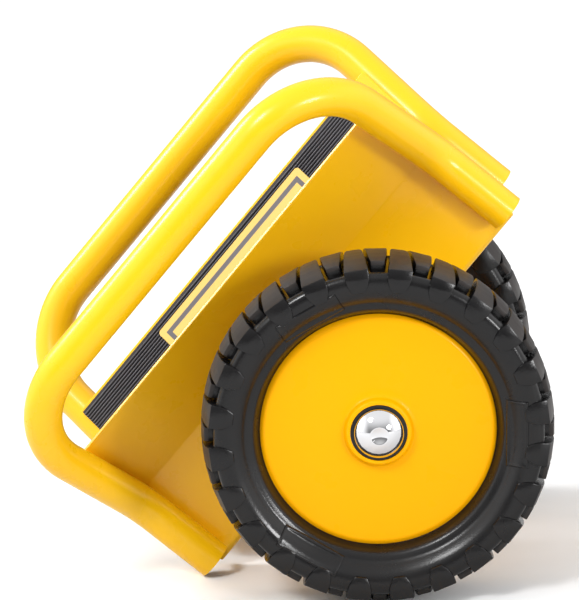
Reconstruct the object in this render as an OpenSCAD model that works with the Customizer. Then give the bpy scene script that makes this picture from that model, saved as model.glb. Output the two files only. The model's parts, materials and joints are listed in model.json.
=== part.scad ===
// Self-clamping board trolley: two flared jaws hinge on a base between two wheels.
// Millimetres. The upright frame has X along the jaws, Y across them and Z up, with its
// origin at the middle of the axle. The parked frame leans that one back about the axle
// until the lower ends of the handles meet the floor. It has its origin on the floor.

/* [Wheels] */
// Radius over the tread blocks
wheel_r = 127; // [105:1:160]
// Distance between the middle planes of the wheels
track_w = 261; // [255:1:330]
// Width over the tread blocks' shoulders
tread_w = 69.2; // [56:0.2:84]
// Depth of the tread grooves
tread_depth = 9.5; // [5:0.5:12]
// How far the shoulders drop below the crown
shoulder_drop = 5.1; // [2:0.1:8]
// Blocks in each of the two rows
block_count = 24; // [16:1:30]
// Radius of the wheel disc
disc_r = 85; // [75:1:92]
// Thickness of the pressed discs
disc_t = 2.5; // [2:0.5:4]
// How far the disc's rim stands out from the wheel's middle plane
disc_out = 16; // [13:0.5:22]
// Outer radius of the hub tube
hub_r = 20.5; // [20:0.5:24]
// How far the hub collar stands out from the wheel's middle plane
collar_out = 25; // [24:0.5:30]

/* [Axle] */
// Radius of the axle
axle_r = 8; // [6:0.5:9]
// Outer radius of the tube that houses the axle
housing_r = 11; // [10:0.5:11.5]
// Outer radius of the wheel bearings
bearing_r = 17.5; // [16:0.5:18]
// Width of the wheel bearings
bearing_w = 11; // [9:1:14]
// Radius of the domed hub cap
cap_r = 17.9; // [15:0.1:19]
// Height of the domed hub cap
cap_h = 10.5; // [9:0.5:14]

/* [Jaws] */
// Length of each jaw plate
jaw_len = 338; // [300:1:420]
// Height of the upright wall, from the fold's underside to the bend
wall_h = 79; // [62:1:96]
// Length of the wing that leans out above the bend, along its slope
wing_h = 67.5; // [60:0.5:85]
// Sheet thickness of the jaw plates
sheet_t = 3; // [2:0.5:4]
// How far the wings lean out from the walls
flare = 32.5; // [26:0.5:36]
// Inner radius of the bend between wall and wing
bend_r = 3; // [2:0.5:8]
// Distance of the walls' outer faces from the middle, jaws open
fold_y = 39; // [37:0.5:43]
// Height of the fold's underside above the axle, jaws open
fold_z = 5.6; // [5:0.1:9]
// Outer radius of the fold
fold_r = 5; // [4:0.5:8]
// Length of the fingers that the board stands on
finger_len = 36; // [30:1:38]
// Width of the fingers
finger_w = 24; // [16:1:25]
// Width of the flange between the fingers
flange_w = 16; // [10:1:17]
// Thickness of the rubber blocks on the fingers
pad_t = 12; // [9:1:14]
// Thickness of the wall lining without its ribs
lining_t = 2; // [1:0.5:4]
// Height of the lining's ribs
rib_h = 1.5; // [0.5:0.5:3]
// Distance between the ribs
rib_pitch = 3.2; // [2.4:0.1:6]
// How far the lining stops short of one end of its plate
lining_short = 15; // [2:1:30]

/* [Handles] */
// Radius of the handle tube
tube_r = 14; // [10:0.5:17]
// Wall of the handle tube
tube_t = 2; // [1.5:0.5:4]
// Distance of the grip from the knees, along the leaning part of the legs
grip_len = 144; // [125:1:175]
// Bend radius of the grip's corners
corner_r = 62; // [45:1:70]
// Bend radius of the knees, where the legs follow the plate's bend
knee_r = 60; // [30:1:80]
// Height of the cut lower ends above the axle, jaw open
leg_end_z = 13; // [8:1:24]

/* [Hinges] */
// Distance of the hinge pins from the middle
pivot_y = 34; // [33:0.5:37]
// Radius of the hinge pins
pin_r = 5; // [4:0.5:6]
// Outer radius of the knuckles
knuckle_r = 8.5; // [7.5:0.5:9]
// Length of each knuckle
knuckle_len = 31; // [24:1:36]
// Thickness of the base plate and its ears
base_t = 4; // [3:0.5:6]
// Gap between the knuckles and the base plate
base_gap = 3; // [2:0.5:8]

/* [Label] */
// Length of the label
label_len = 166; // [100:1:240]
// Height of the label
label_h = 43; // [20:1:46]
// Gap between the label and the top edge of the jaw
label_gap = 10; // [4:1:14]

/* [Hidden] */
$fn = 96;

near = -1;
far = 1;
eps = 0.01;            // overlap that makes a cut clean
fit = 0.05;            // radial clearance of a running fit
side_gap = 0.3;        // end clearance of a knuckle, a bumper or a cap
yellow = [0.98, 0.75, 0.02];
black = [0.09, 0.09, 0.10];
steel = [0.62, 0.63, 0.65];
chrome = [0.86, 0.87, 0.89];

// the lean: the outer edge of a leg's cut end comes down to the floor
leg_x = jaw_len / 2;
foot_x = leg_x + tube_r;
lean = asin(wheel_r / sqrt(foot_x * foot_x + leg_end_z * leg_end_z)) + atan(leg_end_z / foot_x);

// the wheel, measured along its axis from its middle plane, outwards positive
wheel_y = track_w / 2;
base_r = wheel_r - tread_depth;
shoulder_r = wheel_r - shoulder_drop;
shoulder_w = tread_w / 2;
wall_w = shoulder_w + 1.4;            // the blocks' side faces, at their widest
seat_r = disc_r - 11;                 // where the tyre sits on the discs
bead_r = disc_r + 1.5;                // the tyre's opening round the disc
block_w = 3.33 * wheel_r / block_count;   // width of a tread block at the shoulder
tip_w = 2.2 * wheel_r / block_count;      // and at its tip
block_tip = shoulder_w * 0.63;            // how far the tip lies past the middle of the tread
block_foot = bead_r + 18.5;               // where the block ends on the side wall
hub_in = -shoulder_w + 0.6;           // inboard end of the hub tube
hub_out = collar_out - 2.5;           // outboard end of the hub tube
seal_t = 1.8;
bearing_out = hub_out - 2.5;          // outboard face of the outer bearing
bearing_in = hub_in + 2;              // inboard face of the inner bearing
collar_r = axle_r + 4;                // collars and washers on the axle
housing_len = wheel_y + hub_in - 2.4; // half length, from the middle of the trolley
cap_base = collar_out + side_gap;
cap_seat = bearing_out + 0.1;         // the washer rests on the bearing

// the jaw frame: X along, Y out of the wall's outer face, Z up from the fold's underside
hinge_gap = 0.6;                      // between the knuckles' tops and the fold
pivot_u = pivot_y - fold_y;
pivot_v = -knuckle_r - hinge_gap;
pivot_z = fold_z + pivot_v;
base_drop = knuckle_r - pivot_z + base_gap + base_t;
lining_all = lining_t + rib_h;
lining_end = leg_x - 1;
notch_half = housing_r + 8;           // the jaw passes the axle housing here
notch_v = housing_r + 7 - fold_z;
finger_pitch = 56;
finger_first = 42;
ear_x = notch_half + 3;               // inner face of the inner ears
knuckle_x = ear_x + base_t + side_gap;
outer_ear_x = knuckle_x + knuckle_len + side_gap;
pin_end = outer_ear_x + base_t + 3;
lug_x = pin_end + 2;
lug_w = 20;
base_half = lug_x + lug_w + 2;
base_w = pivot_y + 4;
lug_u = 10;                           // inner face of the stop lugs
bumper_v = 17;

// the centres of one jaw's fingers; the other jaw's are the same, turned end for end
finger_at = [-finger_first - 2 * finger_pitch, -finger_first - finger_pitch, -finger_first,
             finger_first + finger_pitch / 2, finger_first + 3 * finger_pitch / 2];

// ---- frames ----

// from the upright frame to the parked one
module park() {
    translate([0, 0, wheel_r]) rotate([0, -lean, 0]) children();
}

// from the jaw frame to the parked one; the near jaw is the far one turned end for end
module on_jaw(side) {
    park() rotate([0, 0, side == far ? 0 : 180]) translate([0, fold_y, fold_z]) children();
}

// from the wing's frame, whose Z runs up the wing from the end of the bend, to the jaw frame
module on_wing() {
    translate([0, bend_r, wall_h]) rotate([-flare, 0, 0]) translate([0, -bend_r, 0]) children();
}

// from a frame whose Z runs outboard from the wheel's middle plane to the parked one
module on_wheel(side) {
    translate([0, side * wheel_y, wheel_r]) rotate([-90 * side, 0, 0]) children();
}

module ring(r_out, r_in, z0, z1) {
    translate([0, 0, z0]) difference() {
        cylinder(r = r_out, h = z1 - z0);
        translate([0, 0, -1]) cylinder(r = r_in, h = z1 - z0 + 2);
    }
}

// a rod along X
module x_rod(r, x0, x1) {
    translate([x0, 0, 0]) rotate([0, 90, 0]) cylinder(r = r, h = x1 - x0);
}

module both_ends() {
    children();
    mirror([1, 0, 0]) children();
}

// ---- base ----

module ear(x) {
    difference() {
        union() {
            translate([x, 0, 0]) x_rod(knuckle_r, 0, base_t);
            translate([x, -knuckle_r, -base_drop - pivot_z + base_t - eps])
                cube([base_t, 2 * knuckle_r, base_drop + pivot_z - base_t + eps]);
        }
        x_rod(pin_r, x - 1, x + base_t + 1);
    }
}

// one quarter of the base: its ears, and its stop lug on a tab
module base_quarter() {
    lug_y = fold_y + lug_u;
    translate([0, pivot_y, pivot_z]) {
        ear(ear_x);
        ear(outer_ear_x);
    }
    translate([lug_x, lug_y, -base_drop]) cube([lug_w, base_t, base_drop + fold_z + bumper_v + 11]);
    translate([lug_x, base_w - 1, -base_drop]) cube([lug_w, lug_y + 1 - base_w + eps, base_t]);
}

module base_plate() {
    color(yellow) park() union() {
        difference() {
            translate([-base_half, -base_w, -base_drop]) cube([2 * base_half, 2 * base_w, base_t]);
            for (s = [-1, 1]) translate([s * base_half / 2, 0, -base_drop - 1])
                cylinder(r = 9, h = base_t + 2);
        }
        for (a = [0, 180]) rotate([0, 0, a]) both_ends() base_quarter();
        // the cradle that the axle housing is welded into
        for (s = [-1, 1]) translate([0, s * (pivot_y - 14), 0]) rotate([90, 0, 0])
            translate([0, 0, -base_t / 2]) linear_extrude(base_t) difference() {
                translate([-housing_r - 4, -base_drop + base_t - eps])
                    square([2 * housing_r + 8, base_drop - base_t]);
                circle(housing_r);
            }
    }
}

module axle_housing() {
    color(steel) park() rotate([90, 0, 0]) ring(housing_r, axle_r, -housing_len, housing_len);
}

module axle() {
    reach = wheel_y + cap_base + cap_h - 4.5;
    color(steel) park() rotate([90, 0, 0]) translate([0, 0, -reach])
        cylinder(r = axle_r, h = 2 * reach);
}

module hinge_pins() {
    color(steel) park() for (a = [0, 180]) rotate([0, 0, a]) both_ends()
        translate([0, pivot_y, pivot_z]) x_rod(pin_r, ear_x - 3, pin_end);
}

module pin_rings() {
    color(steel) park() for (a = [0, 180]) rotate([0, 0, a]) both_ends()
        translate([0, pivot_y, pivot_z]) for (x = [ear_x - 1.5, outer_ear_x + base_t + 0.3])
            translate([x, 0, 0]) rotate([0, 90, 0]) ring(pin_r + 2.5, pin_r, 0, 1.2);
}

module stop_bumpers() {
    color(black) park() for (a = [0, 180]) rotate([0, 0, a]) both_ends()
        translate([lug_x + lug_w / 2, fold_y + side_gap, fold_z + bumper_v]) rotate([-90, 0, 0])
            cylinder(r = 8, h = lug_u - side_gap);
}

module inboard_collars() {
    color(steel) for (s = [near, far]) on_wheel(s)
        ring(collar_r, axle_r, housing_len - wheel_y, bearing_in - 0.1);
}

module outboard_washers() {
    color(steel) for (s = [near, far]) on_wheel(s) ring(collar_r, axle_r, cap_seat, cap_base);
}

// a dome on a short rim, with a dimple at its middle and a blind hole that grips the axle
module hub_cap(side) {
    rim = 2;
    dome = cap_h - rim;
    ball = (cap_r * cap_r + dome * dome) / (2 * dome);
    color(chrome) on_wheel(side) translate([0, 0, cap_base]) difference() {
        union() {
            cylinder(r = cap_r, h = rim);
            intersection() {
                translate([0, 0, rim + dome - ball]) sphere(r = ball);
                translate([0, 0, rim - eps]) cylinder(r = cap_r, h = dome + 1);
            }
        }
        translate([0, 0, -1]) cylinder(r = axle_r, h = cap_h - 4.5 + 1);
        translate([0, 0, cap_h + 12.4]) sphere(r = 14);
    }
}

// ---- jaws ----

// points at a depth behind the jaw's outer face: round the bend, and at a height on the wing
bend_steps = 6;
function bend_point(depth, a) =
    [bend_r - (bend_r + depth) * cos(a), wall_h + (bend_r + depth) * sin(a)];
function bend_line(depth) = [for (i = [0 : bend_steps]) bend_point(depth, flare * i / bend_steps)];
function wing_point(depth, h) = bend_point(depth, flare) + h * [sin(flare), cos(flare)];
function reversed(list) = [for (i = [len(list) - 1 : -1 : 0]) list[i]];

// the folded sheet, seen from its end: wall, bend and wing, then fold and flange, with the flange
// as long as the fingers
module jaw_section() {
    polygon(concat(
        [[0, fold_r]], bend_line(0), [wing_point(0, wing_h), wing_point(sheet_t, wing_h)],
        reversed(bend_line(sheet_t)), [[-sheet_t, fold_r]]));
    translate([-finger_len, 0]) square([finger_len - fold_r, sheet_t]);
    intersection() {
        translate([-fold_r, fold_r]) difference() {
            circle(fold_r);
            circle(fold_r - sheet_t);
        }
        translate([-fold_r, 0]) square(fold_r);
    }
}

// stands an outline drawn in the jaw's Y and Z along X
module along_jaw(x0, x1) {
    translate([x0, 0, 0]) rotate([90, 0, 90]) linear_extrude(x1 - x0) children();
}

module jaw_plate(side) {
    color(yellow) on_jaw(side) difference() {
        along_jaw(-leg_x, leg_x) jaw_section();
        // the gaps between the fingers
        for (i = [0 : len(finger_at)]) {
            x0 = i == 0 ? -leg_x - 1 : finger_at[i - 1] + finger_w / 2;
            x1 = i == len(finger_at) ? leg_x + 1 : finger_at[i] - finger_w / 2;
            translate([x0, -finger_len - 1, -1])
                cube([x1 - x0, finger_len - flange_w + 1, sheet_t + 2]);
        }
        // the way past the axle housing
        translate([-notch_half, -finger_len - 1, -1])
            cube([2 * notch_half, finger_len + 2, notch_v + 1]);
    }
}

module knuckles(side) {
    color(yellow) on_jaw(side) both_ends() difference() {
        union() {
            translate([0, pivot_u, pivot_v]) x_rod(knuckle_r, knuckle_x, knuckle_x + knuckle_len);
            translate([knuckle_x, -14, pivot_v - 2]) cube([knuckle_len, 14 + pivot_u, -pivot_v + 2]);
        }
        translate([0, pivot_u, pivot_v])
            x_rod(pin_r + fit, knuckle_x - 1, knuckle_x + knuckle_len + 1);
    }
}

// the knee, where a leg's centre line turns from the wall's direction to the wing's
knee_v = wall_h + (bend_r - tube_r) * tan(flare / 2);
knee_tan = knee_r * tan(flare / 2);

// One half of the bent tube, from a leg's foot to the grip's corner. Its straight lengths are a
// hair wider than its bends and run a little way into them.
module half_handle(r) {
    straight_r = r + 0.02;
    lap = 0.5;
    translate([leg_x, tube_r, -30]) cylinder(r = straight_r, h = 30 + knee_v - knee_tan + lap);
    // the knee bends about an axis along X, on the outer side of the leg
    translate([leg_x, tube_r + knee_r, knee_v - knee_tan]) rotate([90, 0, 90])
        rotate([0, 0, 180 - flare]) rotate_extrude(angle = flare)
            translate([knee_r, 0]) circle(r);
    // above the knee everything lies in one leaning plane
    above_knee() {
        translate([leg_x, 0, knee_tan - lap])
            cylinder(r = straight_r, h = grip_len - corner_r - knee_tan + 2 * lap);
        translate([leg_x - corner_r, 0, grip_len - corner_r]) rotate([90, 0, 0])
            rotate_extrude(angle = 90) translate([corner_r, 0]) circle(r);
    }
}

module above_knee() {
    translate([0, tube_r, knee_v]) rotate([-flare, 0, 0]) children();
}

module handle_rod(r) {
    both_ends() half_handle(r);
    above_knee() translate([0, 0, grip_len]) x_rod(r, corner_r - leg_x, leg_x - corner_r);
}

// the level at which the legs are cut, as a block in the jaw frame that lies below it
module below_cut(z) {
    translate([-300, -200, z - fold_z - 200]) cube([600, 400, 200]);
}

module handle(side) {
    weld_w = 5.5;
    weld_t = 1.2;
    color(yellow) on_jaw(side) difference() {
        union() {
            handle_rod(tube_r);
            // the weld along the inner side of each leg
            both_ends() translate([leg_x - weld_w, 0, 0])
                cube([weld_w, weld_t, knee_v - knee_tan - 4]);
        }
        handle_rod(tube_r - tube_t);
        below_cut(leg_end_z);
    }
}

module leg_plugs(side) {
    color(black) on_jaw(side) both_ends() difference() {
        translate([leg_x, tube_r, -30]) cylinder(r = tube_r - tube_t, h = 60);
        below_cut(leg_end_z);
    }
}

// depth and height of the points of the ribs on a flat of the lining
lining_depth = sheet_t + lining_t;
function ribs(foot, top) = [
    for (i = [0 : floor((top - foot) / rib_pitch - 0.5) - 1],
         p = [[0, 0.3], [rib_h, 0.42], [rib_h, 0.9], [0, 1]])
        [lining_depth + p[0], foot + (i + p[1]) * rib_pitch]];

// the rubber on the wall and the wing, with ribs along X on both
module lining_section() {
    foot = fold_r + 2;
    top = wing_h - 0.5;
    polygon(concat(
        [[-lining_depth, foot]], [for (p = ribs(foot, wall_h)) [-p[0], p[1]]],
        bend_line(lining_depth), [for (p = ribs(0, top)) wing_point(p[0], p[1])],
        [wing_point(lining_depth, top), wing_point(sheet_t, top)],
        reversed(bend_line(sheet_t)), [[-sheet_t, foot]]));
}

module wall_lining(side) {
    color(black) on_jaw(side) difference() {
        along_jaw(-lining_end, lining_end - lining_short) lining_section();
        translate([-notch_half, -sheet_t - lining_all - 1, 0])
            cube([2 * notch_half, lining_all + 2, notch_v]);
    }
}

module finger_pads(side) {
    root = sheet_t + lining_all + 2;
    color(black) on_jaw(side) for (x = finger_at)
        translate([x - finger_w / 2, -finger_len, sheet_t])
            cube([finger_w, finger_len - root, pad_t]);
}

module label(side) {
    label_t = 0.5;
    color("khaki") on_jaw(side) on_wing()
        translate([-label_len / 2, -sheet_t - lining_all - label_t, wing_h - label_gap - label_h])
            cube([label_len, label_t, label_h]);
}

// ---- wheels ----

// the tyre's carcass, seen across the tread
module carcass_section() {
    half = [
        [seat_r, disc_out - disc_t], [bead_r, disc_out - disc_t], [bead_r + 0.5, disc_out + 3],
        [bead_r + 4.5, disc_out + 8], [bead_r + 8, disc_out + 10], [bead_r + 11.5, wall_w - 7],
        [bead_r + 15, wall_w - 3.8], [bead_r + 19, wall_w - 2], [bead_r + 24, wall_w - 1.2],
        [base_r - 3.5, wall_w - 1.8], [base_r - 0.7, wall_w - 3.8], [base_r, wall_w - 7]];
    last = len(half) - 1;
    polygon(concat(half, [for (i = [last : -1 : 0]) [half[i][0], -half[i][1]]]));
}

// one tread block, from its tip past the middle of the tread over the shoulder and down the side wall
module block_section() {
    crown = [for (i = [0 : 6]) let (z = -block_tip + i * (block_tip + shoulder_w) / 6)
        [wheel_r - shoulder_drop * pow(z / shoulder_w, 2), z]];
    polygon(concat([[base_r - 8, -block_tip]], crown, [
        [shoulder_r - 7, wall_w], [block_foot + 1, wall_w - 0.5], [block_foot, wall_w - 5],
        [base_r - 8, shoulder_w * 0.4]]));
}

// a block about the wheel's X axis: a tongue that narrows towards its tip and towards its foot
module tread_block() {
    half_w = block_w / 2;
    half_turn = asin((half_w + 1) / block_foot);
    intersection() {
        rotate([0, 0, -half_turn]) rotate_extrude(angle = 2 * half_turn) block_section();
        rotate([90, 0, 90]) linear_extrude(wheel_r + 1) polygon([
            [-tip_w / 2, -block_tip - 1], [tip_w / 2, -block_tip - 1], [half_w, shoulder_w],
            [half_w, wall_w + 1], [-half_w, wall_w + 1], [-half_w, shoulder_w]]);
        translate([0, 0, -block_tip - 1]) linear_extrude(block_tip + wall_w + 2) polygon([
            [block_foot - 1, -half_w * 0.4], [block_foot + 6, -half_w * 0.84], [shoulder_r, -half_w],
            [wheel_r + 1, -half_w], [wheel_r + 1, half_w], [shoulder_r, half_w],
            [block_foot + 6, half_w * 0.84], [block_foot - 1, half_w * 0.4]]);
    }
}

module tyre(side, phase) {
    pitch = 360 / block_count;
    color(black) on_wheel(side) union() {
        rotate_extrude() carcass_section();
        for (i = [0 : block_count - 1], row = [0, 1])
            rotate([0, 0, phase + (i + row / 2) * pitch]) mirror([0, 0, row]) tread_block();
    }
}

// a pressed disc: a collar round the hub, a shallow cone, the rim, and the seat that the tyre sits on
module disc_section(reach) {
    rise = reach - disc_out;
    polygon([
        [hub_r, reach], [hub_r + 2.4, reach], [hub_r + 3.6, reach - 1.4],
        [hub_r + 4.2, disc_out + rise * 0.55], [hub_r + 8, disc_out + rise * 0.4],
        [disc_r - 3, disc_out + 0.4], [disc_r, disc_out - disc_t + 0.8], [disc_r, disc_out - disc_t],
        [seat_r, disc_out - disc_t], [seat_r, 0.1], [seat_r - disc_t, 0.1],
        [seat_r - disc_t, disc_out - 2 * disc_t], [hub_r + 8, disc_out + rise * 0.4 - disc_t],
        [hub_r + 2.2, disc_out + rise * 0.4 - disc_t], [hub_r, disc_out]]);
}

module outer_disc(side) {
    color(yellow) on_wheel(side) rotate_extrude() disc_section(collar_out);
}

module inner_disc(side) {
    color(yellow) on_wheel(side) mirror([0, 0, 1]) rotate_extrude() disc_section(collar_out);
}

module hub_tube(side) {
    color(steel) on_wheel(side) ring(hub_r, bearing_r, hub_in, hub_out);
}

// a sealed ball bearing, with the gaps round its shields as shallow grooves
module bearing() {
    difference() {
        ring(bearing_r, axle_r + fit, 0, bearing_w);
        for (z = [-eps, bearing_w - 0.8 + eps], r = [collar_r + 0.4, bearing_r - 3])
            ring(r + 0.6, r, z, z + 0.8);
    }
}

module bearings(side) {
    color(steel) on_wheel(side) {
        translate([0, 0, bearing_in]) bearing();
        translate([0, 0, bearing_out - bearing_w]) bearing();
    }
}

module seal_ring(side) {
    color(black) on_wheel(side) ring(hub_r - 0.2, collar_r + 2, hub_out, hub_out + seal_t);
}

near_phase = 5.3;
far_phase = 2;

base_plate();
axle_housing();
axle();
hinge_pins();
pin_rings();
stop_bumpers();
inboard_collars();
outboard_washers();
hub_cap(near);  // near_hub_cap
hub_cap(far);  // far_hub_cap
jaw_plate(near);  // near_jaw_plate
knuckles(near);  // near_knuckles
handle(near);  // near_handle
wall_lining(near);  // near_wall_lining
finger_pads(near);  // near_finger_pads
leg_plugs(near);  // near_leg_plugs
jaw_plate(far);  // far_jaw_plate
knuckles(far);  // far_knuckles
handle(far);  // far_handle
wall_lining(far);  // far_wall_lining
finger_pads(far);  // far_finger_pads
leg_plugs(far);  // far_leg_plugs
label(far);  // far_label
tyre(near, near_phase);  // near_tyre
outer_disc(near);  // near_outer_disc
inner_disc(near);  // near_inner_disc
hub_tube(near);  // near_hub_tube
bearings(near);  // near_bearings
seal_ring(near);  // near_seal_ring
tyre(far, far_phase);  // far_tyre
outer_disc(far);  // far_outer_disc
inner_disc(far);  // far_inner_disc
hub_tube(far);  // far_hub_tube
bearings(far);  // far_bearings
seal_ring(far);  // far_seal_ring
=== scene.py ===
import json
from math import cos, pi, radians, sin, tan

import bmesh
import bpy
import numpy as np
from mathutils import Matrix, Vector


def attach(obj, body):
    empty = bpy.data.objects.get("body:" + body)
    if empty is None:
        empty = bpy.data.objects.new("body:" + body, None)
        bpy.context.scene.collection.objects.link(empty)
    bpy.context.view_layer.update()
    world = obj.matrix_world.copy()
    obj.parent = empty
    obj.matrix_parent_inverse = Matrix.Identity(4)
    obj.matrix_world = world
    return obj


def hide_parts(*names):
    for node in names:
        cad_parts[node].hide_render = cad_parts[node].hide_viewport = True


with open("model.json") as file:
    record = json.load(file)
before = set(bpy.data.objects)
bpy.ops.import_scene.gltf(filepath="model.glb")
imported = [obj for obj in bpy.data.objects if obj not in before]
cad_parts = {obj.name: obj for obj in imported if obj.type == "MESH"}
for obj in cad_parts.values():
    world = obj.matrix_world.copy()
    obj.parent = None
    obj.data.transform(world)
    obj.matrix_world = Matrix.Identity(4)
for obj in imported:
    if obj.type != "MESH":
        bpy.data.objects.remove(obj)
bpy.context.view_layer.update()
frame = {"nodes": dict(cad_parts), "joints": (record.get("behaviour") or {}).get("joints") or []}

print("frame loaded:", len(frame["nodes"]), "nodes")

# Places and directions come from the frame's joints. The upright frame has its origin at the middle
# of the axle: along runs towards the raised end of the jaws, across towards the far wheel, and up is
# square to the base plate.
joints = {j["name"]: j for j in frame["joints"]}
hubs = {-1: np.array(joints["near_wheel_spin"]["pos_m"], float),
        1: np.array(joints["far_wheel_spin"]["pos_m"], float)}
axleMiddle = (hubs[-1] + hubs[1]) / 2
along = np.array(joints["far_jaw_close"]["axis"], float)
along /= np.linalg.norm(along)
across = np.array([0.0, 1.0, 0.0])
up = np.cross(along, across)
level = np.array([1.0, 0.0, 0.0])
plumb = np.array([0.0, 0.0, 1.0])
sides = {-1: "near", 1: "far"}

jaw = {
    "wallOut": 0.039,       # the wall's outer face, from the middle
    "foldUp": 0.0056,       # the fold's underside, above the axle
    "wallHigh": 0.079,      # from the fold to the bend
    "flare": 32.5,          # degrees that the wing leans out
    "wingHigh": 0.0675,
    "bendRadius": 0.003,
    "halfLength": 0.169,
    "sheet": 0.003,
    "notchHalf": 0.019,     # the gap that passes the axle housing
    "notchTop": 0.0124,
}


# Points in a jaw's own frame (along, outwards, up from the fold) taken to the row frame. The near
# jaw is the far one turned end for end.
def onJaw(side, points):
    corner = axleMiddle + side * across * jaw["wallOut"] + up * jaw["foldUp"]
    return points @ np.array([side * along, side * across, up]) + corner


# Points round the jaw's bend at a depth behind its outer face: centre - (radius + depth) cos a
# outwards and + (radius + depth) sin a upwards.
def onBend(depth, angle):
    far = jaw["bendRadius"] + depth
    return np.stack([jaw["bendRadius"] - far * np.cos(angle), jaw["wallHigh"] + far * np.sin(angle)], -1)


# Points on the wing: from the end of the bend, a height h along (sin flare, cos flare).
def onWing(depth, high):
    lean = radians(jaw["flare"])
    depth, high = np.broadcast_arrays(depth, high)
    return onBend(depth, lean) + high[..., None] * np.array([sin(lean), cos(lean)])


# Points in a wheel's own frame (level, round, outboard from its middle plane) taken to the row frame.
def onWheel(side, points):
    return points @ np.array([level, -side * plumb, side * across]) + hubs[side]


# Quads that join a grid of rows x cols points, numbered row by row. A closed direction joins its
# last points to its first. count grids may follow one another.
def gridFaces(rows, cols, closeRows=False, closeCols=False, count=1):
    i, j = np.meshgrid(np.arange(rows - (not closeRows)), np.arange(cols - (not closeCols)),
                       indexing="ij")
    nextRow, nextCol = (i + 1) % rows, (j + 1) % cols
    quads = np.stack([i * cols + j, i * cols + nextCol, nextRow * cols + nextCol, nextRow * cols + j], -1)
    starts = np.arange(count)[:, None, None] * rows * cols
    return (quads.reshape(1, -1, 4) + starts).reshape(-1, 4).tolist()


mostBend = 0.45     # the largest share of a side that a softened corner takes


# Each corner P of an outline gives way to the curve (1-t)^2 A + 2t(1-t) P + t^2 B, where A and B lie
# on its two sides at the distance bend from it, or at that share of a shorter side. An open outline
# keeps its two end points.
def softCorners(outline, bend, steps=4, closed=True):
    corner = np.array(outline, float)
    back = np.roll(corner, 1, 0) - corner
    ahead = np.roll(corner, -1, 0) - corner
    backLong = np.linalg.norm(back, axis=1, keepdims=True)
    aheadLong = np.linalg.norm(ahead, axis=1, keepdims=True)
    bends = np.broadcast_to(np.array(bend, float).reshape(-1, 1), (len(corner), 1))
    a = corner + back / backLong * np.minimum(bends, mostBend * backLong)
    b = corner + ahead / aheadLong * np.minimum(bends, mostBend * aheadLong)
    t = np.linspace(0, 1, steps)[None, :, None]
    curve = (1 - t) ** 2 * a[:, None] + 2 * t * (1 - t) * corner[:, None] + t ** 2 * b[:, None]
    if closed:
        return curve.reshape(-1, corner.shape[1])
    inner = curve[1:-1].reshape(-1, corner.shape[1])
    return np.vstack([corner[:1], inner, corner[-1:]])


# An outline of (radius, height) points turned about the height axis: x = r cos a, y = r sin a, z = h.
def lathe(outline, turns):
    a = np.linspace(0, 2 * pi, turns, endpoint=False)[:, None]
    r, h = outline[None, :, 0], outline[None, :, 1]
    return np.stack([r * np.cos(a), r * np.sin(a), h + 0 * a], -1)


# A circle of the given radius carried along a path: P + radius (side cos a + over sin a), where side
# is square to the path's direction and to the reference direction, and over is square to both.
def tube(path, radius, reference, turns):
    direction = np.gradient(path, axis=0)
    direction /= np.linalg.norm(direction, axis=1, keepdims=True)
    side = np.cross(direction, reference)
    side /= np.linalg.norm(side, axis=1, keepdims=True)
    over = np.cross(side, direction)
    a = np.linspace(0, 2 * pi, turns, endpoint=False)[None, :, None]
    return path[:, None] + radius * (side[:, None] * np.cos(a) + over[:, None] * np.sin(a))


weld = 1e-6         # points closer than this are one point
softAngle = 28      # degrees: steeper edges of the solids are rounded


# Makes the object, with its doubles merged and its faces turned outwards, and lets it ride on a body.
def newPiece(name, points, faces, material, body, stands=(), smooth=32, values=None):
    mesh = bpy.data.meshes.new(name)
    mesh.from_pydata(points.reshape(-1, 3).tolist(), [], faces)
    for label, numbers in (values or {}).items():
        mesh.attributes.new(label, "FLOAT", "POINT").data.foreach_set("value", numbers.reshape(-1))
    shape = bmesh.new()
    shape.from_mesh(mesh)
    bmesh.ops.remove_doubles(shape, verts=shape.verts[:], dist=weld)
    bmesh.ops.recalc_face_normals(shape, faces=shape.faces[:])
    shape.to_mesh(mesh)
    shape.free()
    return showPiece(name, mesh, material, body, stands, smooth)


def showPiece(name, mesh, material, body, stands, smooth):
    mesh.polygons.foreach_set("use_smooth", [True] * len(mesh.polygons))
    mesh.set_sharp_from_angle(angle=radians(smooth))
    mesh.materials.clear()
    mesh.materials.append(material)
    piece = bpy.data.objects.new(name, mesh)
    bpy.context.scene.collection.objects.link(piece)
    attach(piece, body)
    if stands:
        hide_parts(*stands)
    return piece


# The CAD node's own solid, merged, with its flat faces joined and its edges rounded by a bevel.
def softenedCopy(node, material, body, width, segments=2):
    shape = bmesh.new()
    shape.from_mesh(frame["nodes"][node].data)
    bmesh.ops.remove_doubles(shape, verts=shape.verts[:], dist=weld)
    bmesh.ops.dissolve_limit(shape, angle_limit=radians(0.5), verts=shape.verts[:], edges=shape.edges[:])
    mesh = bpy.data.meshes.new(node + "_soft")
    shape.to_mesh(mesh)
    shape.free()
    piece = showPiece(node + "_soft", mesh, material, body, [node], softAngle)
    bevel = piece.modifiers.new("rounded edges", "BEVEL")
    bevel.width = width
    bevel.segments = segments
    bevel.limit_method = "ANGLE"
    bevel.angle_limit = radians(softAngle)
    return piece


def newGroup(name, inputs, outputs):
    group = bpy.data.node_groups.new(name, "ShaderNodeTree")
    for label, kind, value in inputs:
        socket = group.interface.new_socket(label, in_out="INPUT", socket_type=kind)
        socket.default_value = value
    for label, kind in outputs:
        group.interface.new_socket(label, in_out="OUTPUT", socket_type=kind)
    return group, group.nodes.new("NodeGroupInput"), group.nodes.new("NodeGroupOutput")


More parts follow.
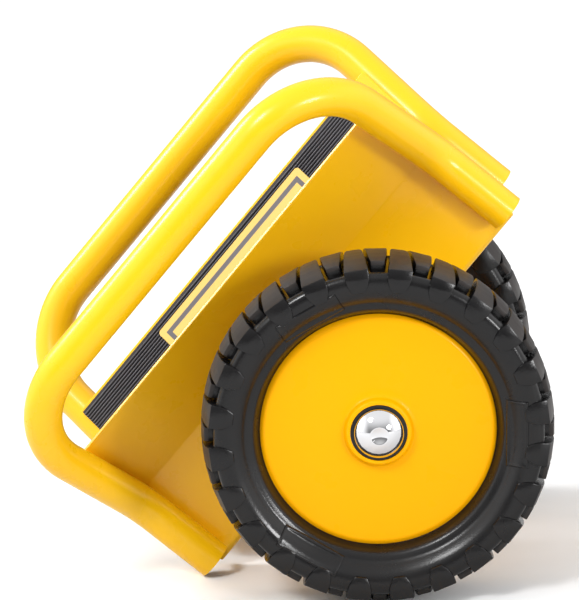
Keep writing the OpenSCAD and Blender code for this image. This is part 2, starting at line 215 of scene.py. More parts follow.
def addNode(tree, kind, settings=None, **inputs):
    node = tree.nodes.new(kind)
    for key, value in (settings or {}).items():
        setattr(node, key, value)
    for key, value in inputs.items():
        socket = node.inputs[key.replace("_", " ")]
        if isinstance(value, bpy.types.NodeSocket):
            tree.links.new(value, socket)
        else:
            socket.default_value = value
    return node


# slow drifts between two colours, as a sprayed or moulded surface has
def mottleGroup():
    group, given, result = newGroup("mottle", [
        ("Colour", "NodeSocketColor", (1, 1, 1, 1)), ("Tint", "NodeSocketColor", (0, 0, 0, 1)),
        ("Scale", "NodeSocketFloat", 12.0), ("Amount", "NodeSocketFloat", 0.5)],
        [("Colour", "NodeSocketColor"), ("Mask", "NodeSocketFloat")])
    where = addNode(group, "ShaderNodeTexCoord")
    noise = addNode(group, "ShaderNodeTexNoise", Vector=where.outputs["Object"],
                    Scale=given.outputs["Scale"], Detail=4.0, Roughness=0.6)
    spread = addNode(group, "ShaderNodeMapRange", Value=noise.outputs["Fac"], From_Min=0.35, From_Max=0.7)
    share = addNode(group, "ShaderNodeMath", {"operation": "MULTIPLY"})
    group.links.new(spread.outputs["Result"], share.inputs[0])
    group.links.new(given.outputs["Amount"], share.inputs[1])
    mix = addNode(group, "ShaderNodeMix", {"data_type": "RGBA"})
    group.links.new(share.outputs[0], mix.inputs["Factor"])
    group.links.new(given.outputs["Colour"], mix.inputs[6])
    group.links.new(given.outputs["Tint"], mix.inputs[7])
    group.links.new(mix.outputs[2], result.inputs["Colour"])
    group.links.new(spread.outputs["Result"], result.inputs["Mask"])
    return group


# a fine even grain, as height and as a roughness between two limits
def grainGroup():
    group, given, result = newGroup("fine grain", [
        ("Scale", "NodeSocketFloat", 600.0), ("Smoothest", "NodeSocketFloat", 0.3),
        ("Roughest", "NodeSocketFloat", 0.5)],
        [("Height", "NodeSocketFloat"), ("Roughness", "NodeSocketFloat")])
    where = addNode(group, "ShaderNodeTexCoord")
    fine = addNode(group, "ShaderNodeTexNoise", Vector=where.outputs["Object"],
                   Scale=given.outputs["Scale"], Detail=3.0, Roughness=0.55)
    slow = addNode(group, "ShaderNodeTexNoise", Vector=where.outputs["Object"], Scale=24.0, Detail=5.0)
    spread = addNode(group, "ShaderNodeMapRange", Value=slow.outputs["Fac"], From_Min=0.3, From_Max=0.7,
                     To_Min=given.outputs["Smoothest"], To_Max=given.outputs["Roughest"])
    group.links.new(fine.outputs["Fac"], result.inputs["Height"])
    group.links.new(spread.outputs["Result"], result.inputs["Roughness"])
    return group


bareShare = 0.72    # the share of cells that hold no speck


# small separate specks of dust or grit: 1 inside a speck
def speckGroup():
    group, given, result = newGroup("specks", [
        ("Scale", "NodeSocketFloat", 90.0), ("Size", "NodeSocketFloat", 0.06)],
        [("Mask", "NodeSocketFloat")])
    where = addNode(group, "ShaderNodeTexCoord")
    cells = addNode(group, "ShaderNodeTexVoronoi", Vector=where.outputs["Object"],
                    Scale=given.outputs["Scale"])
    near = addNode(group, "ShaderNodeMapRange", Value=cells.outputs["Distance"],
                   From_Min=given.outputs["Size"], From_Max=0.0)
    pick = addNode(group, "ShaderNodeSeparateColor", Color=cells.outputs["Color"])
    few = addNode(group, "ShaderNodeMath", {"operation": "GREATER_THAN"})
    group.links.new(pick.outputs[0], few.inputs[0])
    few.inputs[1].default_value = bareShare
    mask = addNode(group, "ShaderNodeMath", {"operation": "MULTIPLY"})
    group.links.new(near.outputs["Result"], mask.inputs[0])
    group.links.new(few.outputs[0], mask.inputs[1])
    group.links.new(mask.outputs[0], result.inputs["Mask"])
    return group


groups = {"mottle": mottleGroup(), "grain": grainGroup(), "specks": speckGroup()}


def placeGroup(tree, name, **inputs):
    node = tree.nodes.new("ShaderNodeGroup")
    node.node_tree = groups[name]
    for key, value in inputs.items():
        socket = node.inputs[key]
        if isinstance(value, bpy.types.NodeSocket):
            tree.links.new(value, socket)
        else:
            socket.default_value = value
    return node


def mixColours(tree, factor, first, second):
    mix = addNode(tree, "ShaderNodeMix", {"data_type": "RGBA"})
    tree.links.new(factor, mix.inputs["Factor"])
    for socket, value in ((mix.inputs[6], first), (mix.inputs[7], second)):
        if isinstance(value, bpy.types.NodeSocket):
            tree.links.new(value, socket)
        else:
            socket.default_value = value
    return mix.outputs[2]


# What most finishes share: a mottled colour with specks, a grained roughness and a fine bump.
def newFinish(look):
    material = bpy.data.materials.new(look["name"])
    material.use_nodes = True
    tree = material.node_tree
    shader = tree.nodes["Principled BSDF"]
    mottle = placeGroup(tree, "mottle", Colour=(*look["colour"], 1), Tint=(*look["tint"], 1),
                        Scale=look["mottleScale"], Amount=look["mottle"])
    grain = placeGroup(tree, "grain", Scale=look["grainScale"], Smoothest=look["smoothest"],
                       Roughest=look["roughest"])
    specks = placeGroup(tree, "specks", Scale=look["speckScale"], Size=look["speckSize"])
    colour = mixColours(tree, specks.outputs["Mask"], mottle.outputs["Colour"], (*look["speck"], 1))
    bump = addNode(tree, "ShaderNodeBump", Height=grain.outputs["Height"], Strength=look["bump"],
                   Distance=look["bumpDepth"])
    tree.links.new(colour, shader.inputs["Base Color"])
    tree.links.new(grain.outputs["Roughness"], shader.inputs["Roughness"])
    tree.links.new(bump.outputs["Normal"], shader.inputs["Normal"])
    shader.inputs["Metallic"].default_value = look.get("metallic", 0.0)
    shader.inputs["Specular IOR Level"].default_value = look.get("specular", 0.5)
    shader.inputs["Coat Weight"].default_value = look.get("coat", 0.0)
    shader.inputs["Coat Roughness"].default_value = look.get("coatRoughness", 0.1)
    return material, tree, shader, colour


paintLook = {
    "name": "yellow powder coat", "colour": (0.97, 0.545, 0.004), "tint": (0.93, 0.47, 0.003),
    "mottleScale": 7.0, "mottle": 0.5, "grainScale": 900.0, "smoothest": 0.24, "roughest": 0.34,
    "speckScale": 34.0, "speckSize": 0.035, "speck": (0.30, 0.12, 0.005), "bump": 0.10,
    "bumpDepth": 0.0003, "specular": 0.35, "coat": 0.18, "coatRoughness": 0.06,
}
yellowPaint = newFinish(paintLook)[0]

discLook = dict(paintLook, name="yellow wheel enamel", colour=(0.93, 0.42, 0.0), tint=(0.90, 0.39, 0.0),
                mottle=0.4, mottleScale=5.0, smoothest=0.26, roughest=0.36, speckSize=0.02,
                specular=0.09, coat=0.03)
wheelEnamel = newFinish(discLook)[0]

rubberLook = {
    "name": "moulded tyre rubber", "colour": (0.0040, 0.0038, 0.0043), "tint": (0.0075, 0.0065, 0.0063),
    "mottleScale": 30.0, "mottle": 0.7, "grainScale": 700.0, "smoothest": 0.17, "roughest": 0.32,
    "speckScale": 160.0, "speckSize": 0.05, "speck": (0.05, 0.045, 0.04), "bump": 0.25,
    "bumpDepth": 0.0003, "specular": 0.4, "tread": (0.024, 0.019, 0.017),
}


# Tyre rubber is browner and duller on the faces that meet the ground, where "tread" is 1.
def tyreRubber():
    material, tree, shader, colour = newFinish(rubberLook)
    tread = addNode(tree, "ShaderNodeAttribute", {"attribute_name": "tread"})
    dusty = mixColours(tree, tread.outputs["Fac"], colour, (*rubberLook["tread"], 1))
    tree.links.new(dusty, shader.inputs["Base Color"])
    rough = addNode(tree, "ShaderNodeMapRange", Value=tread.outputs["Fac"], To_Min=0.0, To_Max=0.22)
    old = shader.inputs["Roughness"].links[0].from_socket
    add = addNode(tree, "ShaderNodeMath", {"operation": "ADD"})
    tree.links.new(old, add.inputs[0])
    tree.links.new(rough.outputs["Result"], add.inputs[1])
    tree.links.new(add.outputs[0], shader.inputs["Roughness"])
    return material


tyreBlack = tyreRubber()

# the last colour here is a painted highlight for the rib crests
ribLook = dict(rubberLook, name="ribbed sheet rubber", colour=(0.018, 0.016, 0.018),
               tint=(0.03, 0.028, 0.031), smoothest=0.45, roughest=0.6, mottleScale=60.0,
               crestHighlight=(0.10, 0.095, 0.105))


# The crests of the ribs get a painted highlight: where the mask is 1 the colour turns a lighter grey,
# standing in for the light the crests catch above the shaded grooves.
def ribbedRubber():
    material, tree, shader, colour = newFinish(ribLook)
    crestHighlight = addNode(tree, "ShaderNodeAttribute", {"attribute_name": "crestHighlight"})
    tree.links.new(mixColours(tree, crestHighlight.outputs["Fac"], colour, (*ribLook["crestHighlight"], 1)),
                   shader.inputs["Base Color"])
    return material


ribBlack = ribbedRubber()

padBlack = newFinish(dict(rubberLook, name="solid block rubber", colour=(0.02, 0.02, 0.021),
                          smoothest=0.5, roughest=0.65, grainScale=450.0))[0]
plasticBlack = newFinish(dict(rubberLook, name="black plastic", colour=(0.012, 0.012, 0.013),
                              smoothest=0.35, roughest=0.45, bump=0.08, speckSize=0.02))[0]

zincLook = {
    "name": "zinc plated steel", "colour": (0.60, 0.61, 0.63), "tint": (0.50, 0.49, 0.46),
    "mottleScale": 40.0, "mottle": 0.6, "grainScale": 500.0, "smoothest": 0.26, "roughest": 0.42,
    "speckScale": 120.0, "speckSize": 0.05, "speck": (0.30, 0.28, 0.25), "bump": 0.12,
    "bumpDepth": 0.0002, "metallic": 1.0,
}
zincSteel = newFinish(zincLook)[0]
brightChrome = newFinish(dict(zincLook, name="bright chrome", colour=(0.86, 0.86, 0.88), mottle=0.25,
                              tint=(0.80, 0.80, 0.82), smoothest=0.035, roughest=0.07, bump=0.01,
                              speckSize=0.03, speck=(0.55, 0.55, 0.56)))[0]

labelLook = dict(paintLook, name="printed vinyl label", colour=(0.93, 0.62, 0.17), tint=(0.92, 0.58, 0.14),
                 smoothest=0.25, roughest=0.35, speckSize=0.01, bump=0.05, band=(0.155, 0.145, 0.155))


# A grey band runs round inside the label's border, where "band" is 1.
def labelVinyl():
    material, tree, shader, colour = newFinish(labelLook)
    band = addNode(tree, "ShaderNodeAttribute", {"attribute_name": "band"})
    tree.links.new(mixColours(tree, band.outputs["Fac"], colour, (*labelLook["band"], 1)),
                   shader.inputs["Base Color"])
    return material


labelPrint = labelVinyl()
print("materials made")


tyre = {
    "radius": 0.127, "halfTread": 0.0346, "drop": 0.0051,   # crown radius, half width, shoulder's drop
    "blocks": 24, "shoulderWidth": 0.0176, "tipWidth": 0.0116, "tip": 0.0218,
    "foot": 0.105, "side": 0.0358, "groove": 0.1175, "phase": {-1: 5.3, 1: 2.0},
    "bead": 0.0865, "beadIn": 0.0135, "turns": 168,
    "panelAt": (117.3, -2.7, -122.7), "panelLength": 0.0495, "panelLow": 0.0905, "panelHigh": 0.1065,
    "panelRise": 0.0011, "panelStep": 0.0009, "panelRimAt": 0.0018, "panelRimHigh": 0.0004,
    "panelMost": 0.0359,                            # the panels stay below this, from the middle plane
    "blockEdge": 0.001, "crownFrom": 0.1216, "crownBlend": 0.0006,
    # the line inside the carcass, at shares of the way along a block's top line
    "coreShare": (0, 0.62, 0.8, 1), "coreRadius": (0.112, 0.113, 0.110, 0.1055),
    "coreHigh": (-0.019, 0.024, 0.029, 0.0300),
}


# half of the carcass outline as (radius, height from the middle plane), from the bead to the crown
def carcassHalf():
    b, w = tyre["bead"], tyre["halfTread"]
    return [(b - 0.0015, tyre["beadIn"]), (b + 0.0004, tyre["beadIn"] + 0.004), (b + 0.0016, 0.0212),
            (b + 0.0036, 0.0240), (b + 0.0062, 0.0252), (b + 0.0090, 0.0262), (b + 0.0120, 0.0294),
            (b + 0.0155, 0.0322), (b + 0.0200, 0.0340), (b + 0.0250, 0.0344), (0.1158, 0.0336),
            (0.1182, 0.0310), (0.1186, 0.0270), (0.1172, 0.0252), (tyre["groove"], w * 0.5),
            (tyre["groove"] + 0.0004, 0)]


def carcassOutline():
    half = np.array(carcassHalf())
    mirrored = half[-2::-1] * (1, -1)
    inner = np.array([(tyre["bead"] - 0.0115, -0.0132), (tyre["bead"] - 0.0115, 0.0132)])
    return softCorners(np.vstack([half, mirrored, inner]), 0.0022, 4)


# One block is a bar between its top line and a line inside the carcass. The top line runs from the
# tip over the crown, r = radius - drop (z / halfTread)^2, round the shoulder and down to the foot.
# Each point carries the block's half width there: (r, z, half width).
def blockTop():
    z = np.linspace(-tyre["tip"], tyre["halfTread"], 7)
    r = tyre["radius"] - tyre["drop"] * (z / tyre["halfTread"]) ** 2
    full = tyre["shoulderWidth"] / 2
    width = tyre["tipWidth"] / 2 + (full - tyre["tipWidth"] / 2) * (z - z[0]) / (z[-1] - z[0])
    width[0] -= 0.0008
    start = [(tyre["groove"] - 0.004, -tyre["tip"], width[0]), (r[0] - 0.0035, -tyre["tip"], width[0])]
    end = [(0.1150, tyre["side"], full * 0.97), (tyre["foot"] + 0.0055, tyre["side"], full * 0.84),
           (tyre["foot"], tyre["side"] - 0.0004, full * 0.5), (tyre["foot"] - 0.0006, 0.0310, full * 0.42)]
    return softCorners(np.vstack([start, np.stack([r, z, width], -1), end]), 0.0009, 3, closed=False)


def treadBlocks(phase):
    line = blockTop()
    r, z, half = line.T
    share = np.linspace(0, 1, len(line))
    coreR = np.interp(share, tyre["coreShare"], tyre["coreRadius"])
    coreZ = np.interp(share, tyre["coreShare"], tyre["coreHigh"])
    reach = np.hypot(coreR - r, coreZ - z)
    side = np.array([-1, -1, -1, -1, 0, 1, 1, 1, 1])
    inset = np.array([0, 0, 0.25, 0.9, 0, 0.9, 0.25, 0, 0]) * tyre["blockEdge"]
    down = np.array([1, 0.9, 0.25, 0, 0, 0, 0.25, 0.9, 1])
    depth = down * tyre["blockEdge"]
    sink = np.where(down == 1, 1.0, np.minimum(depth[None, :] / reach[:, None], 1.0))
    pointR = r[:, None] + (coreR - r)[:, None] * sink
    pointZ = z[:, None] + (coreZ - z)[:, None] * sink
    offset = side * half[:, None] - side * inset
    crown = np.clip((r - tyre["crownFrom"]) / tyre["crownBlend"], 0, 1)
    tread = (crown[:, None] * (sink < 0.02)).astype(np.float32)
    step = 2 * pi / tyre["blocks"]
    shapes, marks = [], []
    for row in (0, 1):
        angle = radians(phase) + (np.arange(tyre["blocks"]) + row / 2) * step
        turn, spot = np.cos(angle)[:, None, None], np.sin(angle)[:, None, None]
        flip = -1 if row else 1
        height = np.broadcast_to(flip * pointZ, (tyre["blocks"],) + pointZ.shape)
        shapes.append(np.stack([pointR * turn - offset * spot, pointR * spot + offset * turn, height], -1))
        marks.append(np.broadcast_to(tread, (tyre["blocks"],) + tread.shape))
    count = 2 * tyre["blocks"]
    rows, cols = pointR.shape
    faces = gridFaces(rows, cols, closeCols=True, count=count)
    starts = np.arange(count)[:, None] * rows * cols
    faces += (starts + np.arange(cols)[::-1]).tolist()
    faces += (starts + (rows - 1) * cols + np.arange(cols)).tolist()
    return np.concatenate(shapes), faces, np.concatenate(marks)


# A blank raised panel on the side wall: a rectangle in the plane, lifted onto the wall's own height
# at each radius and by a step that rises within a millimetre of its border, with a low rim.
def wallPanel(angle):
    a = np.linspace(-0.5, 0.5, 61)[:, None] * tyre["panelLength"]
    b = np.linspace(tyre["panelLow"], tyre["panelHigh"], 25)[None, :]
    x, y = b + 0 * a, a + 0 * b
    radius = np.hypot(x, y)
    half = softCorners(carcassHalf(), 0.0022, 4, closed=False)
    half = half[: int(np.argmax(half[:, 1]))]
    wall = np.interp(radius, half[:, 0], half[:, 1])
    border = np.minimum(tyre["panelLength"] / 2 - np.abs(y),
                        np.minimum(b - tyre["panelLow"], tyre["panelHigh"] - b) + 0 * y)
    step = tyre["panelStep"]
    rise = np.clip(border / step, 0, 1) * tyre["panelRise"]
    rim = np.clip(1 - np.abs(border - tyre["panelRimAt"]) / step, 0, 1) * tyre["panelRimHigh"]
    atEdge = border < weld
    top = wall + np.minimum(rise + rim, tyre["panelMost"] - wall) - np.where(atEdge, 0.0008, 0)
    base = np.where(atEdge, top, wall - 0.0015)
    c, s = cos(radians(angle)), sin(radians(angle))
    plan = [x * c - y * s, x * s + y * c]
    return np.stack(plan + [top], -1), np.stack(plan + [base], -1)


def makeTyre(side):
    body, name = sides[side] + "_wheel", sides[side] + "_tyre"
    carcass = lathe(carcassOutline(), tyre["turns"])
    plain = np.zeros(carcass.shape[:2], np.float32)
    newPiece(name + "_carcass", onWheel(side, carcass), gridFaces(*carcass.shape[:2], True, True),
             tyreBlack, body, [name], values={"tread": plain})
    points, faces, marks = treadBlocks(tyre["phase"][side])
    newPiece(name + "_blocks", onWheel(side, points), faces, tyreBlack, body,
             values={"tread": marks})
    shells, quads = [], []
    for angle in tyre["panelAt"]:
        for sheet in wallPanel(angle):
            quads += (np.array(gridFaces(*sheet.shape[:2])) + sum(s.size // 3 for s in shells)).tolist()
            shells.append(sheet)
    shells = np.concatenate([s.reshape(-1, 3) for s in shells])
    newPiece(name + "_panels", onWheel(side, shells), quads, tyreBlack, body,
             values={"tread": np.zeros(len(shells), np.float32)})


for side in sides:
    makeTyre(side)
print("tyres made")


disc = {
    "hub": 0.0205, "rim": 0.085, "out": 0.016, "collar": 0.025, "sheet": 0.0025, "seat": 0.074,
    "turns": 144,
}
seal = {"inner": 0.014, "outer": 0.0203, "low": 0.0225, "high": 0.0243}
cap = {
    "radius": 0.0179, "base": 0.0253, "height": 0.0105, "rim": 0.002, "dimple": 0.0065, "dip": 0.0016,
    "bore": 0.0081, "boreDeep": 0.0055,     # the hollow that takes the axle's end
}


# the pressed disc as (radius, height): collar, fillet, shallow cone, rolled rim and the tyre's seat
def discOutline():
    d, rise = disc, disc["collar"] - disc["out"]
    outline = [
        (d["hub"], d["collar"]), (d["hub"] + 0.0024, d["collar"]), (d["hub"] + 0.0038, d["collar"] - 0.0018),
        (d["hub"] + 0.0044, d["out"] + rise * 0.52), (d["hub"] + 0.0085, d["out"] + rise * 0.36),
        (d["rim"] - 0.003, d["out"] + 0.0004), (d["rim"], d["out"] - d["sheet"] + 0.0008),
        (d["rim"], d["out"] - d["sheet"]), (d["seat"], d["out"] - d["sheet"]), (d["seat"], 0.0001),
        (d["seat"] - d["sheet"], 0.0001), (d["seat"] - d["sheet"], d["out"] - 2 * d["sheet"]),
        (d["hub"] + 0.0085, d["out"] + rise * 0.36 - d["sheet"]),
        (d["hub"] + 0.0022, d["out"] + rise * 0.36 - d["sheet"]), (d["hub"], d["out"])]
    bends = [0.0003, 0.001, 0.001, 0.0022, 0.004, 0.002, 0.0006, 0.0003] + [0.0004] * 7
    return softCorners(outline, bends, 7)


# the cap: a dimple, a spherical dome of height h over the rim and the flat underside
def capOutline():
    dome = cap["height"] - cap["rim"]
    ball = (cap["radius"] ** 2 + dome ** 2) / (2 * dome)
    centre = cap["base"] + cap["height"] - ball
    r = np.linspace(cap["dimple"], cap["radius"] - 0.0002, 22)
    domeLine = np.stack([r, centre + np.sqrt(ball ** 2 - r ** 2)], -1)
    edge = domeLine[0, 1]
    t = np.linspace(0, 0.93, 12)
    hollow = np.stack([cap["dimple"] * t, edge - cap["dip"] * (1 - t ** 2) ** 1.3], -1)
    rim = np.array([
        (cap["radius"], cap["base"] + cap["rim"] - 0.0004), (cap["radius"], cap["base"] + 0.0002),
        (cap["radius"] - 0.0003, cap["base"]), (cap["bore"], cap["base"]),
        (cap["bore"], cap["base"] + cap["boreDeep"]), (0, cap["base"] + cap["boreDeep"])])
    return np.vstack([hollow, domeLine, rim])


def makeDiscs(side):
    body, name = sides[side] + "_wheel", sides[side]
    outline = discOutline()
    for word, turned in (("outer", outline), ("inner", outline * (1, -1))):
        shape = lathe(turned, disc["turns"])
        newPiece(f"{name}_{word}_disc_pressing", onWheel(side, shape),
                 gridFaces(*shape.shape[:2], True, True), wheelEnamel, body,
                 [f"{name}_{word}_disc"])
    ring = lathe(softCorners([(seal["inner"], seal["low"]), (seal["outer"], seal["low"]),
                              (seal["outer"], seal["high"]), (seal["inner"], seal["high"])], 0.0005), 96)
    newPiece(name + "_seal_lip", onWheel(side, ring), gridFaces(*ring.shape[:2], True, True), plasticBlack,
             body, [name + "_seal_ring"])
    dome = lathe(capOutline(), 96)
    newPiece(name + "_cap_dome", onWheel(side, dome), gridFaces(*dome.shape[:2], True), brightChrome,
             "chassis", [name + "_hub_cap"])


for side in sides:
    makeDiscs(side)
print("wheels made")


handle = {
    "radius": 0.014, "wall": 0.002, "gripLong": 0.144, "cornerRadius": 0.062, "kneeRadius": 0.060,
    "legEnd": 0.013, "turns": 40,
}


# The centre line in the jaw frame: up the leg, round the knee to the wing's slope, up the leaning
# part, round the corner to the grip, and the same mirrored. An arc of radius R is its centre +
# R (cos a, sin a).
def handleLine():
    h, lean = handle, radians(jaw["flare"])
    kneeUp = jaw["wallHigh"] + (jaw["bendRadius"] - h["radius"]) * tan(lean / 2)
    kneeReach = h["kneeRadius"] * tan(lean / 2)
    x = jaw["halfLength"]
    v = np.linspace(h["legEnd"] - jaw["foldUp"], kneeUp - kneeReach, 12)[:-1]
    leg = np.stack([0 * v + x, 0 * v + h["radius"], v], -1)
    a = np.linspace(0, lean, 16)[:-1]
    knee = np.stack([0 * a + x, h["radius"] + h["kneeRadius"] * (1 - np.cos(a)),
                     kneeUp - kneeReach + h["kneeRadius"] * np.sin(a)], -1)
    s = np.linspace(kneeReach, h["gripLong"] - h["cornerRadius"], 6)[:-1]
    c = np.linspace(0, pi / 2, 26)
    sweep = np.concatenate([s, h["gripLong"] - h["cornerRadius"] * (1 - np.sin(c))])
    inwards = np.concatenate([0 * s, h["cornerRadius"] * (1 - np.cos(c))])
    upper = np.stack([x - inwards, h["radius"] + sweep * sin(lean), kneeUp + sweep * cos(lean)], -1)
    half = np.vstack([leg, knee, upper])
    middle = half[-1:] * (0, 1, 1)
    return np.vstack([half, middle, half[::-1] * (-1, 1, 1)])


# The outer wall out along the line and the inner wall back, closed into one skin at the cut ends.
def makeHandle(side):
    path = handleLine()
    reference = np.array([0, 1.0, 0])
    outer = tube(path, handle["radius"], reference, handle["turns"])
    inner = tube(path, handle["radius"] - handle["wall"], reference, handle["turns"])
    shell = np.concatenate([outer, inner[::-1]])
    name = sides[side] + "_handle"
    newPiece(name + "_tube", onJaw(side, shell), gridFaces(*shell.shape[:2], True, True), yellowPaint,
             sides[side] + "_jaw", [name], smooth=40)


for side in sides:
    makeHandle(side)
print("handles made")


lining = {"base": 0.002, "rib": 0.0015, "pitch": 0.0024, "end": 0.168, "short": 0.015, "foot": 0.007,
          "margin": 0.003}
label = {
    "length": 0.166, "height": 0.043, "gap": 0.010, "thick": 0.0005, "border": 0.0051, "band": 0.0037,
    "corner": 0.003, "soft": 0.0002,        # corner radius, and how far the print's edges blur
    "clear": 0.0001, "rounding": 0.0003,
}


# Rounded ribs over a flat from foot to top: rib * (0.5 - 0.5 cos)^0.6 over each pitch. Returns the
# heights, and how far each point stands out, from 0 to 1.
def ribWave(foot, top):
    count = int((top - foot) / lining["pitch"] - 0.5)
    t = np.linspace(0, count, count * 12 + 1)
    return foot + t * lining["pitch"], (0.5 - 0.5 * np.cos(2 * pi * t)) ** 0.6


# The lining's outline in (outwards, up): ribs on the wall, smooth round the bend, ribs on the wing,
# and flat behind. It lies in three lengths, the middle one over the gap for the axle housing.
def makeLining(side):
    back, face = jaw["sheet"], jaw["sheet"] + lining["base"]
    top = jaw["wingHigh"] - lining["margin"]
    bendTurn = np.linspace(0, radians(jaw["flare"]), 7)
    wingUp, wingWave = ribWave(0, top)
    wing = onWing(face + lining["rib"] * wingWave, wingUp)
    behind = np.vstack([onWing(back, np.array([top])), onBend(back, bendTurn[::-1])])
    shapes, quads, marks = [], [], []
    start = 0
    lengths = ((-lining["end"], -jaw["notchHalf"], lining["foot"]),
               (-jaw["notchHalf"], jaw["notchHalf"], jaw["notchTop"]),
               (jaw["notchHalf"], lining["end"] - lining["short"], lining["foot"]))
    for x0, x1, foot in lengths:
        wallUp, wallWave = ribWave(foot, jaw["wallHigh"])
        wall = np.stack([-face - lining["rib"] * wallWave, wallUp], -1)
        outline = np.vstack([wall, onBend(face, bendTurn), wing, onWing(face, np.array([top])), behind,
                             [[-back, foot]]])
        # painted highlight mask: 1 on the rib crests, 0 in the grooves
        crestHighlight = np.zeros(len(outline))
        crestHighlight[:len(wallWave)] = wallWave ** 2
        wingStart = len(wallWave) + len(bendTurn)
        crestHighlight[wingStart:wingStart + len(wingWave)] = wingWave ** 2
        n = len(outline)
        for x in (x0, x1):
            shapes.append(np.column_stack([np.full(n, x), outline]))
            marks.append(crestHighlight)
        quads += (np.array(gridFaces(2, n, closeCols=True)) + start).tolist()
        quads += [list(range(start, start + n)), list(range(start + n, start + 2 * n))]
        start += 2 * n
    name = sides[side] + "_wall_lining"
    newPiece(name + "_ribs", onJaw(side, np.vstack(shapes)), quads, ribBlack, sides[side] + "_jaw",
             [name], values={"crestHighlight": np.concatenate(marks).astype(np.float32)})


for side in sides:
    makeLining(side)


# The label is a thin sheet on the crests: rings of a rectangle with rounded corners, each set in
# from its edge, so the printed band stays parallel to it. An arc at each corner is corner (cos, sin).
def makeLabel():
    a, b = label["length"] / 2, label["height"] / 2
    corner, soft = label["corner"], label["soft"]
    turn = np.linspace(0, 2 * pi, 160, endpoint=False)[None, :]
    bandEnd = label["border"] + label["band"]
    inset = np.array([0.0, label["rounding"], label["border"] - soft, label["border"] + soft, bandEnd - soft,
                      bandEnd + soft, b - 0.0005])[:, None]
    bend = np.maximum(corner - inset, 0.0004)
    c, s = np.cos(turn), np.sin(turn)
    x = np.sign(c) * (a - inset - bend) + bend * c
    y = np.sign(s) * (b - inset - bend) + bend * s
    under = jaw["sheet"] + lining["base"] + lining["rib"] + label["clear"]
    front = under + label["thick"] - label["clear"]
    middle = jaw["wingHigh"] - label["gap"] - label["height"] / 2
    layers = []
    for depth in (front - np.where(inset == 0, label["rounding"], 0) + 0 * x, under + 0 * x):
        layers.append(np.concatenate([x[..., None], onWing(depth, middle + y)], -1))
    inside = ((inset > label["border"]) & (inset < bandEnd)).astype(np.float32)
    marks = np.repeat(inside, x.shape[1], 1)
    rows, cols = x.shape
    quads = gridFaces(rows, cols, closeCols=True, count=2)
    quads += [list(range(end * cols - cols, end * cols)) for end in (rows, 2 * rows)]
    newPiece("far_label_sheet", onJaw(1, np.concatenate(layers)), quads, labelPrint, "far_jaw",
             ["far_label"], values={"band": np.concatenate([marks, 0 * marks])})


makeLabel()
print("linings and label made")


softened = {
    "base_plate": (yellowPaint, "chassis", "yellow_paint", 0.0006),
    "near_jaw_plate": (yellowPaint, "near_jaw", "yellow_paint", 0.0007),
    "far_jaw_plate": (yellowPaint, "far_jaw", "yellow_paint", 0.0007),
    "near_knuckles": (yellowPaint, "near_jaw", "yellow_paint", 0.0005),
    "far_knuckles": (yellowPaint, "far_jaw", "yellow_paint", 0.0005),
    "near_finger_pads": (padBlack, "near_jaw", "black_rubber", 0.0016),
    "far_finger_pads": (padBlack, "far_jaw", "black_rubber", 0.0016),
    "stop_bumpers": (padBlack, "chassis", "black_rubber", 0.001),
    "hinge_pins": (zincSteel, "chassis", "zinc_steel", 0.0007),
    "outboard_washers": (zincSteel, "chassis", "zinc_steel", 0.0003),
    "inboard_collars": (zincSteel, "chassis", "zinc_steel", 0.0003),
}
for node, (material, body, slot, width) in softened.items():
    softenedCopy(node, material, body, width)

kept = {
    "axle": zincSteel, "axle_housing": zincSteel, "pin_rings": zincSteel,
    "near_hub_tube": zincSteel, "far_hub_tube": zincSteel,
    "near_bearings": zincSteel, "far_bearings": zincSteel,
    "near_leg_plugs": plasticBlack, "far_leg_plugs": plasticBlack,
}
for node, material in kept.items():
    frame["nodes"][node].data.materials.clear()
    frame["nodes"][node].data.materials.append(material)
print("metalwork finished")


studio = {
    "floorSize": 7.0, "floorColour": (0.93, 0.93, 0.93), "floorTint": (0.84, 0.84, 0.84),
    "floorGlow": 0.6,                               # how brightly the floor lights the underside
    "floorDrop": 0.0005,                            # keeps the floor just clear of the tyres
    "aim": (0, 0, 0.15),                            # where the lights point
    "shown": 1.0,                                   # what the camera sees of the room
    "horizon": 0.24, "above": 0.95, "beside": 1.1,  # how bright the room is, by direction
    "aboveFull": 0.8, "sideStarts": 0.55, "sideFull": 0.95,     # parts of a unit direction
    "key": {"at": (-1.4, -1.9, 2.3), "size": 0.8, "watts": 46.0},
    "fill": {"at": (1.8, -2.4, 0.9), "size": 0.7, "watts": 34.0},
    "rim": {"at": (-2.3, 0.9, 1.9), "size": 1.0, "watts": 45.0},
}


def makeFloor():
    half = studio["floorSize"] / 2
    corners = np.array([(-half, -half, 0), (half, -half, 0), (half, half, 0), (-half, half, 0)])
    mesh = bpy.data.meshes.new("floor")
    mesh.from_pydata((corners - (0, 0, studio["floorDrop"])).tolist(), [], [(0, 1, 2, 3)])
    floor = bpy.data.objects.new("floor", mesh)
    bpy.context.scene.collection.objects.link(floor)
    paper = newFinish(dict(paintLook, name="pale paper", colour=studio["floorColour"],
                           tint=studio["floorTint"], speckSize=0.0, smoothest=0.8, roughest=0.9, bump=0.02,
                           coat=0.0))[0]
    mesh.materials.append(paper)
    # it lights and mirrors less than it shows, as a floor does that ends a little way off
    tree = paper.node_tree
    shader = tree.nodes["Principled BSDF"]
    path = addNode(tree, "ShaderNodeLightPath")
    shown = shader.inputs["Base Color"].links[0].from_socket
    glow = (*[studio["floorGlow"]] * 3, 1)
    tree.links.new(mixColours(tree, path.outputs["Is Camera Ray"], glow, shown), shader.inputs["Base Color"])


def makeLight(name, look):
    data = bpy.data.lights.new(name, "AREA")
    data.shape = "DISK"
    data.size = look["size"]
    data.energy = look["watts"]
    light = bpy.data.objects.new(name, data)
    away = Vector(look["at"]) - Vector(studio["aim"])
    turned = away.to_track_quat("Z", "Y").to_matrix().to_4x4()
    light.matrix_world = Matrix.Translation(look["at"]) @ turned
    bpy.context.scene.collection.objects.link(light)


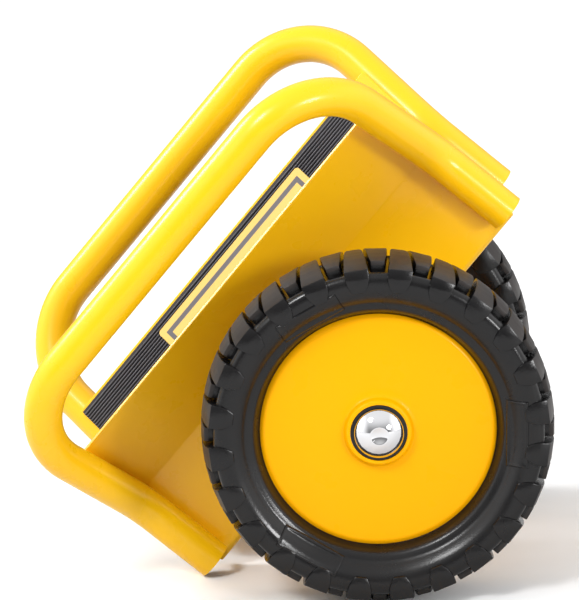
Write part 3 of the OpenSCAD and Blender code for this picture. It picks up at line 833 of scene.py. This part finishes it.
# The room: plain white to the camera. What it lights and what shows in the gloss is dim at the
# horizon, brighter towards the top, and brighter towards the two sides.
def makeRoom():
    world = bpy.data.worlds.new("studio")
    world.use_nodes = True
    tree = world.node_tree
    lighting = tree.nodes["Background"]
    lighting.inputs["Strength"].default_value = 1.0
    where = addNode(tree, "ShaderNodeTexCoord")
    split = addNode(tree, "ShaderNodeSeparateXYZ", Vector=where.outputs["Generated"])
    height = addNode(tree, "ShaderNodeMapRange", {"interpolation_type": "SMOOTHSTEP"},
                     Value=split.outputs["Z"], From_Min=0.0, From_Max=studio["aboveFull"],
                     To_Min=studio["horizon"], To_Max=studio["above"])
    sideways = addNode(tree, "ShaderNodeMath", {"operation": "ABSOLUTE"})
    tree.links.new(split.outputs["X"], sideways.inputs[0])
    beside = addNode(tree, "ShaderNodeMapRange", {"interpolation_type": "SMOOTHSTEP"},
                     Value=sideways.outputs[0], From_Min=studio["sideStarts"],
                     From_Max=studio["sideFull"], To_Min=0.0, To_Max=studio["beside"])
    total = addNode(tree, "ShaderNodeMath", {"operation": "ADD"})
    tree.links.new(height.outputs["Result"], total.inputs[0])
    tree.links.new(beside.outputs["Result"], total.inputs[1])
    tree.links.new(total.outputs[0], lighting.inputs["Color"])
    plain = addNode(tree, "ShaderNodeBackground", Color=(1, 1, 1, 1), Strength=studio["shown"])
    path = addNode(tree, "ShaderNodeLightPath")
    pick = addNode(tree, "ShaderNodeMixShader", Fac=path.outputs["Is Camera Ray"])
    tree.links.new(lighting.outputs[0], pick.inputs[1])
    tree.links.new(plain.outputs[0], pick.inputs[2])
    tree.links.new(pick.outputs[0], tree.nodes["World Output"].inputs["Surface"])
    bpy.context.scene.world = world


makeFloor()
for name in ("key", "fill", "rim"):
    makeLight(name, studio[name])
makeRoom()
bpy.context.scene.view_settings.view_transform = "Standard"

shot = {
    "turn": 0.420, "rise": 12.517, "roll": 2.879,                 # degrees
    "right": 0.06103, "below": 0.06138, "distance": 3.5,           # where the axle's middle falls
    "lens": 281.41, "sensor": 36.0,
}


def makeCamera():
    turn, rise, roll = radians(shot["turn"]), radians(shot["rise"]), radians(shot["roll"])
    forward = np.array([sin(turn) * cos(rise), cos(turn) * cos(rise), -sin(rise)])
    flat = np.array([cos(turn), -sin(turn), 0])
    down = np.cross(forward, flat)
    right = flat * cos(roll) + down * sin(roll)
    below = down * cos(roll) - flat * sin(roll)
    at = axleMiddle - right * shot["right"] - below * shot["below"] - forward * shot["distance"]
    data = bpy.data.cameras.new("camera")
    data.lens = shot["lens"]
    data.sensor_width = shot["sensor"]
    data.clip_end = 50
    camera = bpy.data.objects.new("camera", data)
    pose = np.eye(4)
    pose[:3, 0], pose[:3, 1], pose[:3, 2], pose[:3, 3] = right, -below, -forward, at
    camera.matrix_world = Matrix(pose.tolist())
    bpy.context.scene.collection.objects.link(camera)
    bpy.context.scene.camera = camera


makeCamera()
print("studio ready")

bpy.context.view_layer.update()
